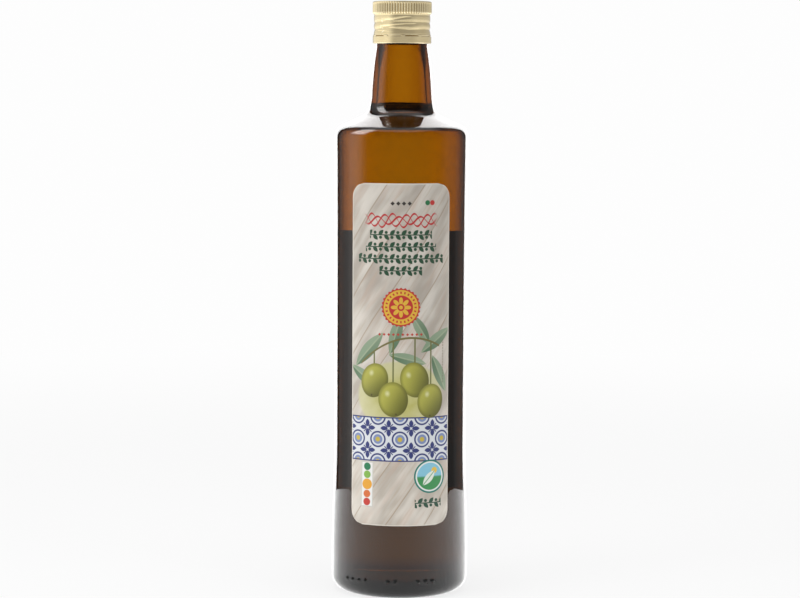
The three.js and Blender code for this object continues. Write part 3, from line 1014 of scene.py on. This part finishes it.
def make_oil():
    """Oil that just reaches into the glass, up to the neck's foot, and creeps up its wall there."""
    wall = WALL - OIL_OVERLAP
    inside = body_inside(wall, PUNT_DEPTH + FLOOR - OIL_OVERLAP)
    foot_radius, foot_height, _ = inside[0]
    low_radius, low_height = NECK[0]
    share = (OIL_LEVEL - foot_height) / (low_height - foot_height)
    rim = foot_radius + share * (low_radius - wall - foot_radius)
    radii = rim - MENISCUS_LENGTH * np.linspace(4, 0, 12)
    rise = MENISCUS_HEIGHT * np.exp(-(rim - radii) / MENISCUS_LENGTH)
    top = [(radius, OIL_LEVEL + up) for radius, up in zip(radii, rise)]
    outline = rounded([(0, OIL_LEVEL), *top, (rim, OIL_LEVEL), *inside])
    return around("oil_fill", outline[::-1], even_angles(160), olive_oil())


def groove_path(angles, height, depth, half, turns, heights):
    line = np.interp(angles, np.radians(turns), heights)
    return depth * np.exp(-(((height - line) / half) ** 2))


def edge_drop(distance, fillet):
    """How far a rounded edge falls back, at this distance from its end."""
    return fillet * (1 - math.sqrt(1 - max(0, 1 - distance / fillet) ** 2)) if distance >= 0 else fillet


def cap_relief(angles, radius, height):
    """What the teeth, rolled grooves, bead, slits and band add to the skirt radius."""
    added = np.zeros(len(angles))
    if radius < SKIRT_RADIUS - 0.01:
        return added
    turned = (angles + math.pi) % (2 * math.pi) - math.pi
    for groove in GROOVES:
        added -= groove_path(turned, height, *groove)
    for depth, half, turns, heights in RUN_OUTS:
        first, last = np.radians(turns[0]), np.radians(turns[-1])
        taper = math.radians(RUN_OUT_TAPER)
        ends = smooth_step(turned, first, first + taper) * (1 - smooth_step(turned, last - taper, last))
        added -= ends * groove_path(turned, height, depth, half, turns, heights)
    bead_height, bead_half, bead_proud = BEAD
    added += bead_proud * math.exp(-(((height - bead_height) / bead_half) ** 2))
    tooth = 0.5 + 0.5 * np.cos(KNURL_TEETH * turned)
    foot = KNURL_BOTTOM + KNURL_POINT * (1 - tooth)
    share = np.clip((height - foot) / KNURL_RAMP, 0, 1)
    worn = KNURL_DEPTH * (1 - tooth**0.7) * (1 - smooth_step(height, KNURL_TOP, CAP_TOP))
    added += share * (KNURL_RADIUS - SKIRT_RADIUS - worn)
    above_band = smooth_step(height, BAND_TOP, BAND_TOP + BAND_RAMP)
    added += (BAND_RADIUS - SKIRT_RADIUS) * (1 - above_band)
    from_bridge = np.degrees(turned) - FIRST_BRIDGE
    pitch = 360 / SLIT_COUNT
    off = np.abs((from_bridge + pitch / 2) % pitch - pitch / 2)
    open_part = smooth_step(off, BRIDGE_HALF_ANGLE, BRIDGE_HALF_ANGLE + 1)
    wide = 0.62 + 0.38 * np.sin(turned * SLIT_COUNT / 2)
    slit = math.exp(-(((height - SLIT_HEIGHT) / SLIT_HALF) ** 4))
    added -= SLIT_DEPTH * slit * open_part * wide
    added -= edge_drop(CAP_TOP - height, EDGE_RADIUS)
    return added - edge_drop(height - CAP_BOTTOM, CURL_RADIUS)


def make_cap():
    inner = SKIRT_RADIUS - CAP_WALL
    outline = [
        (0, CAP_TOP - CAP_ROOF),
        (inner, CAP_TOP - CAP_ROOF),
        (inner, CAP_BOTTOM + CURL_RADIUS),
        (inner + CAP_WALL / 3, CAP_BOTTOM),
        *((SKIRT_RADIUS, height) for height in np.linspace(CAP_BOTTOM, CAP_TOP, CAP_ROWS)),
        (SKIRT_RADIUS - EDGE_RADIUS, CAP_TOP),
        (0, CAP_TOP),
    ]
    return around("screw_cap", outline, even_angles(CAP_COLUMNS), gold_metal(), cap_relief)


def make_label(name, turn, material, bottom, top, half_angle):
    """A closed thin sheet with rounded corners, its printed side unwrapped flat."""
    rows = np.linspace(bottom, top, LABEL_ROWS)
    end = np.minimum(rows - bottom, top - rows)
    inside = np.maximum(0, LABEL_CORNER - end)
    inset = LABEL_CORNER - np.sqrt(LABEL_CORNER**2 - inside**2)
    half = half_angle - inset / PANEL_RADIUS
    columns = np.linspace(-1, 1, LABEL_COLUMNS)
    vertices, flat = [], []
    for lift in (LABEL_LIFT + LABEL_THICKNESS, LABEL_LIFT):
        for height, reach in zip(rows, half):
            radius = body_radius(height) + lift
            for off in columns * reach:
                angle = off * PANEL_RADIUS / body_radius(height) + turn
                vertices.append((radius * math.sin(angle), -radius * math.cos(angle), height))
                flat.append((0.5 + off / half_angle / 2, (height - bottom) / (top - bottom)))
    wide, back = len(columns), len(rows) * len(columns)
    front_faces, back_faces = [], []
    for r in range(len(rows) - 1):
        for c in range(wide - 1):
            i = r * wide + c
            front_faces.append((i, i + 1, i + 1 + wide, i + wide))
            back_faces.append((back + i, back + i + wide, back + i + 1 + wide, back + i + 1))
    edge = [*range(wide), *range(2 * wide - 1, back, wide)]
    edge += [*range(back - 2, back - wide - 1, -1), *range(back - 2 * wide, 0, -wide)]
    back_faces += [(j, i, back + i, back + j) for i, j in zip(edge, edge[1:] + edge[:1])]
    label = new_object(name, vertices, front_faces + back_faces, [material])
    unwrap_label(label, flat, len(front_faces))
    return label


def make_front_label():
    shape = (LABEL_BOTTOM, LABEL_TOP, LABEL_HALF_ANGLE)
    paper = printed_paper("front_paper", 1, front_print, *shape)
    return make_label("front_label_print", 0, paper, *shape)


def make_back_label():
    shape = (BACK_BOTTOM, BACK_TOP, BACK_HALF_ANGLE)
    paper = printed_paper("back_paper", -1, back_print, *shape)
    return make_label("back_label_print", math.pi, paper, *shape)


def unwrap_label(label, flat, front_count):
    """The front takes the wide part of the map, the back and edges the narrow part beside it."""
    layer = label.data.uv_layers.new(name="OFBake")
    for polygon in label.data.polygons:
        front = polygon.index < front_count
        for loop, vertex in zip(polygon.loop_indices, polygon.vertices):
            u, v = flat[vertex]
            low, high = (0, BAKE_SPLIT) if front else (BAKE_SPLIT + BAKE_GAP, 1)
            layer.data[loop].uv = (low + (high - low) * u, v)


def place_pieces():
    pieces = [
        (make_bottle(), "bottle_glass", "amber_glass"),
        (make_oil(), "oil", "olive_oil"),
        (make_cap(), "cap", "gold_aluminium"),
        (make_front_label(), "front_label", "label_paper"),
        (make_back_label(), "back_label", "label_paper"),
    ]
    for piece, node, slot in pieces:
        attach(piece, "root")
        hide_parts(node)


# The studio

def table_surface():
    """White. What mirrors it sees it lit from behind: brightest far off, and dimmer in front; through
    the glass, a painted shadow dims it round the bottle's foot.
    """
    material, nodes, shader, out = surface("studio_floor", Roughness=0.6)
    place = object_place(nodes)
    cloud = nodes.noise(place, 3, 2)
    nodes.feed(shader.inputs["Base Color"], nodes.mix(cloud, (0.78, 0.78, 0.78), (0.8, 0.8, 0.8)))
    x, y, _ = nodes.split(place)
    side = nodes.size(nodes.math("ARCTAN2", x, y))
    light_path = nodes.add("ShaderNodeLightPath")
    mirrored = nodes.fade(side, *TABLE_GLOW)
    through = nodes.fade(side, *THROUGH_GLOW)
    from_middle = nodes.vector("LENGTH", place)
    # Painted shadow: the glow seen through the glass dims near the bottle's foot
    shade = nodes.fade(from_middle, *FOOT_PAINTED_SHADOW)
    change = nodes.minus(nodes.times(through, shade), mirrored)
    power = nodes.line(change, light_path.outputs["Is Transmission Ray"], mirrored)
    glow = nodes.add("ShaderNodeEmission", {"Color": colour((1, 1, 1)), "Strength": power})
    plain = nodes.add("ShaderNodeEmission", {"Color": colour((BACKDROP,) * 3)})
    far = nodes.fade(from_middle, *FLOOR_FADE)
    seen = nodes.add("ShaderNodeMixShader", {0: far, 1: shader.outputs[0], 2: plain.outputs[0]})
    camera_ray = light_path.outputs["Is Camera Ray"]
    both = nodes.add("ShaderNodeMixShader", {0: camera_ray, 1: glow.outputs[0], 2: seen.outputs[0]})
    nodes.feed(out.inputs["Surface"], both.outputs[0])
    return material


def ellipse(wide, deep, count=96):
    return [(wide * math.cos(a), deep * math.sin(a), 0) for a in even_angles(count)]


def make_floor():
    """A white table round the bottle, and beyond it a floor that only the camera sees."""
    material = table_surface()
    rim = ellipse(TABLE_WIDE, TABLE_DEEP)
    table = new_object("table", rim, [tuple(range(len(rim)))], [material])
    count = len(rim)
    faces = [(i, i + count, (i + 1) % count + count, (i + 1) % count) for i in range(count)]
    floor = new_object("far_floor", rim + ellipse(FLOOR_RADIUS, FLOOR_RADIUS), faces, [material])
    floor.visible_glossy = floor.visible_transmission = floor.visible_diffuse = False


def patch(nodes, side, rise, power, azimuth, half, low, high, soft=WALL_SOFT):
    """A soft-edged patch of light on the world round the bottle."""
    across = nodes.band(side, azimuth, half, soft)
    up = nodes.band(rise, (low + high) / 2, (high - low) / 2, soft)
    return nodes.times(nodes.times(across, up), power)


def wall_light(nodes, side, rise, is_through):
    """The wall behind, wider and even where it shows through the glass, and the room overhead."""
    aside = nodes.size(side)
    across = nodes.band(side, 0, WALL_HALF, WALL_SOFT)
    through = nodes.times(nodes.band(side, 0, *THROUGH_WALL), nodes.fade(aside, *THROUGH_SIDES))
    through = nodes.times(through, nodes.fade(rise, *THROUGH_RISE))
    across = nodes.line(nodes.minus(through, across), is_through, across)
    up = nodes.band(rise, (WALL_LOW + WALL_HIGH) / 2, (WALL_HIGH - WALL_LOW) / 2, WALL_SOFT)
    wall = nodes.times(nodes.times(across, up), WALL_POWER)
    slope = patch(nodes, side, rise, 1, 0, WALL_HALF, SLOPE_LOW, WALL_HIGH)
    slope = nodes.times(slope, nodes.fade(rise, *WALL_SLOPE))
    return nodes.plus(nodes.plus(wall, slope), nodes.fade(rise, *ZENITH))


def skirt_light(nodes, side, rise):
    """Light low down at both sides and in front, which shows only through the glass."""
    power, azimuth, *extent = THROUGH_SKIRT
    light = nodes.fade(nodes.size(side), *THROUGH_FRONT)
    for middle in (azimuth, -azimuth):
        light = nodes.plus(light, patch(nodes, side, rise, power, middle, *extent))
    return light


def rough_light(nodes, side, rise):
    light = nodes.fade(rise, *ROUGH_ROOM)
    for power, azimuth, half, soft in ROUGH_LIGHTS:
        light = nodes.line(nodes.band(side, azimuth, half, soft), power, light)
    return light


def make_world():
    """A white studio: a bright wall behind, and the softboxes that glass and metal mirror."""
    world = bpy.data.worlds.new("studio")
    bpy.context.scene.world = world
    world.use_nodes = True
    nodes = Nodes(world.node_tree)
    x, y, z = nodes.split(nodes.add("ShaderNodeTexCoord").outputs["Generated"])
    to_degrees = 180 / math.pi
    side = nodes.times(nodes.math("ARCTAN2", x, y), to_degrees)
    rise = nodes.times(nodes.math("ARCSINE", z), to_degrees)
    light_path = nodes.add("ShaderNodeLightPath")
    is_through = light_path.outputs["Is Transmission Ray"]
    light = wall_light(nodes, side, rise, is_through)
    light = nodes.line(skirt_light(nodes, side, rise), is_through, light)
    for softbox in SOFTBOXES:
        light = nodes.plus(light, patch(nodes, side, rise, *softbox))
    rough = rough_light(nodes, side, rise)
    light = nodes.line(nodes.minus(light, rough), light_path.outputs["Is Singular Ray"], rough)
    grey = nodes.join(light, light, light)
    power = nodes.mix(light_path.outputs["Is Camera Ray"], grey, (BACKDROP,) * 3)
    background = nodes.add("ShaderNodeBackground", {"Color": power})
    out = nodes.add("ShaderNodeOutputWorld")
    world.node_tree.links.new(background.outputs[0], out.inputs["Surface"])


def make_lamps():
    for name, (place, wide, high, watts) in LAMPS.items():
        data = bpy.data.lights.new(name, "AREA")
        data.shape = "RECTANGLE"
        data.size, data.size_y, data.energy = wide * MM, high * MM, watts
        lamp = in_scene(name, data)
        lamp.location = Vector(place) * MM
        away = lamp.location - Vector((0, 0, CAP_TOP / 2)) * MM
        lamp.rotation_euler = away.to_track_quat("Z", "Y").to_euler()
        lamp.visible_glossy = lamp.visible_transmission = lamp.visible_camera = False


def make_camera():
    data = bpy.data.cameras.new("camera")
    camera = in_scene("camera", data)
    data.sensor_width = SENSOR_WIDTH
    data.lens = FOCAL_PIXELS * SENSOR_WIDTH / PHOTO_WIDTH
    camera.location = Vector((CAMERA_SIDE, -CAMERA_DISTANCE, CAMERA_HEIGHT)) * MM
    level = Matrix.Rotation(math.pi / 2 - CAMERA_TILT, 4, "X")
    camera.rotation_euler = (level @ Matrix.Rotation(CAMERA_ROLL, 4, "Z")).to_euler()
    data.clip_start, data.clip_end = 0.05, 50
    bpy.context.scene.camera = camera


make_camera()
make_world()
make_lamps()
make_floor()
place_pieces()
bpy.context.scene.view_settings.view_transform = "Standard"
